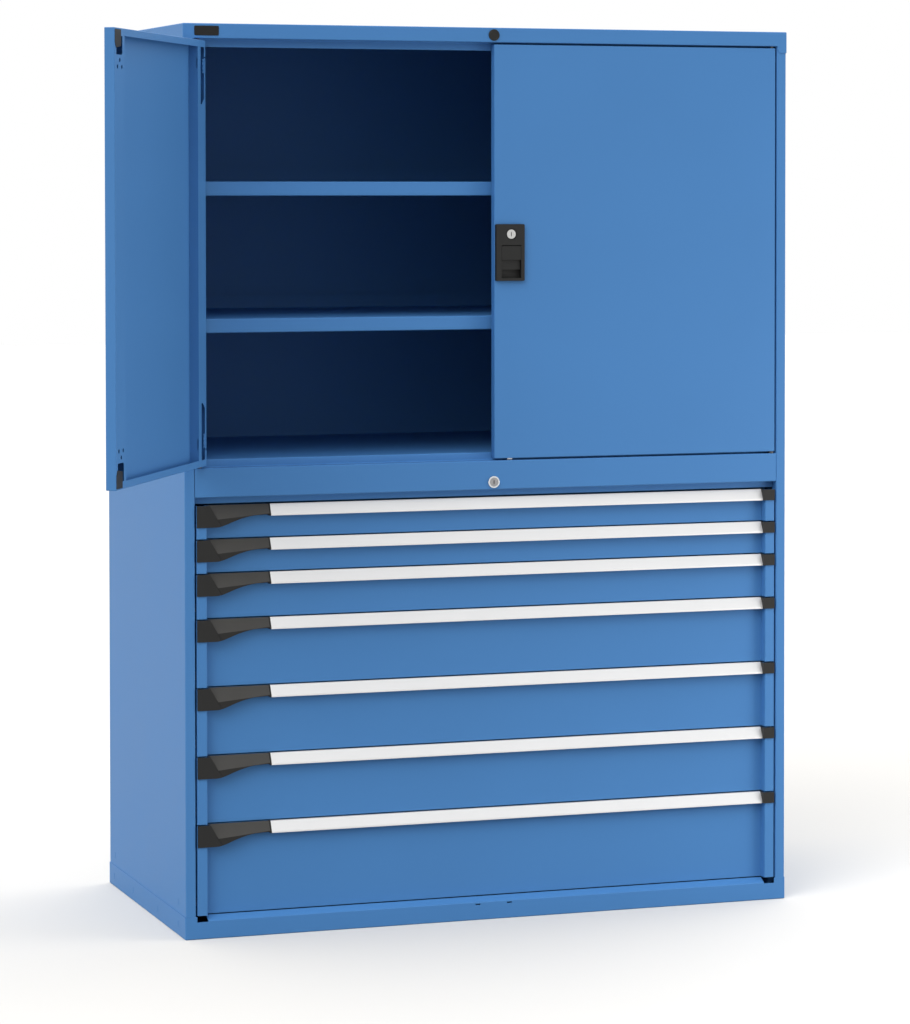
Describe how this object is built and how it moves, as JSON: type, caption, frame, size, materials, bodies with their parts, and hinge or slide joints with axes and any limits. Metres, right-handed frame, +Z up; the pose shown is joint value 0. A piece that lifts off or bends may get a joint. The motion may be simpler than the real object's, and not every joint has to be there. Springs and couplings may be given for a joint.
{
  "type": "tool cabinet with doors",
  "caption": "Tall steel tool cabinet: a shelved compartment behind two hinged doors over a stack of full-width drawers with aluminium pulls, latch levers and a central lock",
  "frame": {"origin": "middle of the base's underside", "axes": "+X across to the right seen from the front, +Y from front to back, +Z up; left door open, everything else shut"},
  "size_m": [1.7324, 1.3062, 2],
  "materials": {
    "blue_paint": "light blue powder coat, fine orange peel",
    "zinc": "zinc plated",
    "aluminium": "natural anodised, satin",
    "black_plastic": "fine moulded grain",
    "chrome": "polished"
  },
  "bodies": {
    "carcass": {"base_tray": "blue_paint", "side_panel_left": "blue_paint", "side_panel_right": "blue_paint", "back_panel": "blue_paint", "top_panel": "blue_paint", "middle_deck": "blue_paint", "shelf_upper": "blue_paint", "shelf_lower": "blue_paint", "slotted_uprights": "blue_paint", "drawer_rails": "zinc", "drawer_lock_barrel": "chrome", "hinge_pins": "zinc", "top_plug": "black_plastic", "top_label": "black_plastic"},
    "door_left": {"door_left": "blue_paint", "door_left_guides": "black_plastic"},
    "door_right": {"door_right": "blue_paint", "door_right_guides": "black_plastic", "door_handle_plate": "black_plastic"},
    "door_paddle": {"door_handle_paddle": "black_plastic"},
    "door_key": {"door_lock_cylinder": "chrome"},
    "door_cam": {"door_lock_cam": "zinc"},
    "door_rod": {"door_lock_rod": "zinc"},
    "drawer_key": {"drawer_lock_cylinder": "chrome"},
    "lock_bar": {"drawer_lock_bar": "zinc"},
    "drawer_1": {"drawer_1_tray": "blue_paint", "drawer_1_handle": "aluminium", "drawer_1_caps": "black_plastic"},
    "slides_1": {"drawer_1_slides": "zinc"},
    "latch_1": {"drawer_1_latch": "black_plastic"},
    "drawer_2": {"drawer_2_tray": "blue_paint", "drawer_2_handle": "aluminium", "drawer_2_caps": "black_plastic"},
    "slides_2": {"drawer_2_slides": "zinc"},
    "latch_2": {"drawer_2_latch": "black_plastic"},
    "drawer_3": {"drawer_3_tray": "blue_paint", "drawer_3_handle": "aluminium", "drawer_3_caps": "black_plastic"},
    "slides_3": {"drawer_3_slides": "zinc"},
    "latch_3": {"drawer_3_latch": "black_plastic"},
    "drawer_4": {"drawer_4_tray": "blue_paint", "drawer_4_handle": "aluminium", "drawer_4_caps": "black_plastic"},
    "slides_4": {"drawer_4_slides": "zinc"},
    "latch_4": {"drawer_4_latch": "black_plastic"},
    "drawer_5": {"drawer_5_tray": "blue_paint", "drawer_5_handle": "aluminium", "drawer_5_caps": "black_plastic"},
    "slides_5": {"drawer_5_slides": "zinc"},
    "latch_5": {"drawer_5_latch": "black_plastic"},
    "drawer_6": {"drawer_6_tray": "blue_paint", "drawer_6_handle": "aluminium", "drawer_6_caps": "black_plastic"},
    "slides_6": {"drawer_6_slides": "zinc"},
    "latch_6": {"drawer_6_latch": "black_plastic"},
    "drawer_7": {"drawer_7_tray": "blue_paint", "drawer_7_handle": "aluminium", "drawer_7_caps": "black_plastic"},
    "slides_7": {"drawer_7_slides": "zinc"},
    "latch_7": {"drawer_7_latch": "black_plastic"}
  },
  "joints": [
    {"name": "door_left_hinge", "type": "hinge", "parent": "carcass", "child": "door_left", "pos_m": [-0.6775, -0.354, 1.49975], "axis": [0, 0, 1], "range_deg": [0, 120]},
    {"name": "door_right_hinge", "type": "hinge", "parent": "carcass", "child": "door_right", "pos_m": [0.6775, -0.354, 1.49975], "axis": [0, 0, 1], "range_deg": [0, 120]},
    {"name": "door_paddle_pull", "type": "hinge", "parent": "door_right", "child": "door_paddle", "pos_m": [0.0395, -0.3655, 1.511], "axis": [-1, 0, 0], "range_deg": [0, 40], "stiffness_Nm_per_rad": 0.4},
    {"name": "door_key_turn", "type": "hinge", "parent": "door_right", "child": "door_key", "pos_m": [0.0392, -0.36, 1.5394], "axis": [0, 1, 0], "range_deg": [0, 90]},
    {"name": "door_cam_turn", "type": "hinge", "parent": "door_right", "child": "door_cam", "pos_m": [0.0345, -0.3495, 1.49], "axis": [0, -1, 0], "range_deg": [0, 90]},
    {"name": "door_rod_slide", "type": "slide", "parent": "door_right", "child": "door_rod", "axis": [0, 0, 1], "range_m": [0, 0.01697]},
    {"name": "drawer_key_turn", "type": "hinge", "parent": "carcass", "child": "drawer_key", "pos_m": [0, -0.36, 0.9845], "axis": [0, -1, 0], "range_deg": [0, 90]},
    {"name": "lock_bar_lift", "type": "slide", "parent": "carcass", "child": "lock_bar", "axis": [0, 0, 1], "range_m": [0, 0.012]},
    {"name": "drawer_1_slide", "type": "slide", "parent": "carcass", "child": "drawer_1", "axis": [0, -1, 0], "range_m": [0, 0.61]},
    {"name": "slides_1_slide", "type": "slide", "parent": "carcass", "child": "slides_1", "axis": [0, -1, 0], "range_m": [0, 0.305]},
    {"name": "latch_1_grip", "type": "hinge", "parent": "drawer_1", "child": "latch_1", "pos_m": [-0.59, -0.343, 0.945], "axis": [-1, 0, 0], "range_deg": [0, 12], "stiffness_Nm_per_rad": 0.3},
    {"name": "drawer_2_slide", "type": "slide", "parent": "carcass", "child": "drawer_2", "axis": [0, -1, 0], "range_m": [0, 0.61]},
    {"name": "slides_2_slide", "type": "slide", "parent": "carcass", "child": "slides_2", "axis": [0, -1, 0], "range_m": [0, 0.305]},
    {"name": "latch_2_grip", "type": "hinge", "parent": "drawer_2", "child": "latch_2", "pos_m": [-0.59, -0.343, 0.87], "axis": [-1, 0, 0], "range_deg": [0, 12], "stiffness_Nm_per_rad": 0.3},
    {"name": "drawer_3_slide", "type": "slide", "parent": "carcass", "child": "drawer_3", "axis": [0, -1, 0], "range_m": [0, 0.61]},
    {"name": "slides_3_slide", "type": "slide", "parent": "carcass", "child": "slides_3", "axis": [0, -1, 0], "range_m": [0, 0.305]},
    {"name": "latch_3_grip", "type": "hinge", "parent": "drawer_3", "child": "latch_3", "pos_m": [-0.59, -0.343, 0.795], "axis": [-1, 0, 0], "range_deg": [0, 12], "stiffness_Nm_per_rad": 0.3},
    {"name": "drawer_4_slide", "type": "slide", "parent": "carcass", "child": "drawer_4", "axis": [0, -1, 0], "range_m": [0, 0.61]},
    {"name": "slides_4_slide", "type": "slide", "parent": "carcass", "child": "slides_4", "axis": [0, -1, 0], "range_m": [0, 0.305]},
    {"name": "latch_4_grip", "type": "hinge", "parent": "drawer_4", "child": "latch_4", "pos_m": [-0.59, -0.343, 0.695], "axis": [-1, 0, 0], "range_deg": [0, 12], "stiffness_Nm_per_rad": 0.3},
    {"name": "drawer_5_slide", "type": "slide", "parent": "carcass", "child": "drawer_5", "axis": [0, -1, 0], "range_m": [0, 0.61]},
    {"name": "slides_5_slide", "type": "slide", "parent": "carcass", "child": "slides_5", "axis": [0, -1, 0], "range_m": [0, 0.305]},
    {"name": "latch_5_grip", "type": "hinge", "parent": "drawer_5", "child": "latch_5", "pos_m": [-0.59, -0.343, 0.545], "axis": [-1, 0, 0], "range_deg": [0, 12], "stiffness_Nm_per_rad": 0.3},
    {"name": "drawer_6_slide", "type": "slide", "parent": "carcass", "child": "drawer_6", "axis": [0, -1, 0], "range_m": [0, 0.61]},
    {"name": "slides_6_slide", "type": "slide", "parent": "carcass", "child": "slides_6", "axis": [0, -1, 0], "range_m": [0, 0.305]},
    {"name": "latch_6_grip", "type": "hinge", "parent": "drawer_6", "child": "latch_6", "pos_m": [-0.59, -0.343, 0.395], "axis": [-1, 0, 0], "range_deg": [0, 12], "stiffness_Nm_per_rad": 0.3},
    {"name": "drawer_7_slide", "type": "slide", "parent": "carcass", "child": "drawer_7", "axis": [0, -1, 0], "range_m": [0, 0.61]},
    {"name": "slides_7_slide", "type": "slide", "parent": "carcass", "child": "slides_7", "axis": [0, -1, 0], "range_m": [0, 0.305]},
    {"name": "latch_7_grip", "type": "hinge", "parent": "drawer_7", "child": "latch_7", "pos_m": [-0.59, -0.343, 0.245], "axis": [-1, 0, 0], "range_deg": [0, 12], "stiffness_Nm_per_rad": 0.3}
  ],
  "couplings": [
    {"joint": "door_cam_turn", "follows": "door_rod_slide", "rad_per_m": 92.55},
    {"joint": "door_paddle_pull", "follows": "door_rod_slide", "rad_per_m": 41.13},
    {"joint": "drawer_key_turn", "follows": "lock_bar_lift", "rad_per_m": 130.89},
    {"joint": "slides_1_slide", "follows": "drawer_1_slide", "ratio": 0.5},
    {"joint": "slides_2_slide", "follows": "drawer_2_slide", "ratio": 0.5},
    {"joint": "slides_3_slide", "follows": "drawer_3_slide", "ratio": 0.5},
    {"joint": "slides_4_slide", "follows": "drawer_4_slide", "ratio": 0.5},
    {"joint": "slides_5_slide", "follows": "drawer_5_slide", "ratio": 0.5},
    {"joint": "slides_6_slide", "follows": "drawer_6_slide", "ratio": 0.5},
    {"joint": "slides_7_slide", "follows": "drawer_7_slide", "ratio": 0.5}
  ]
}
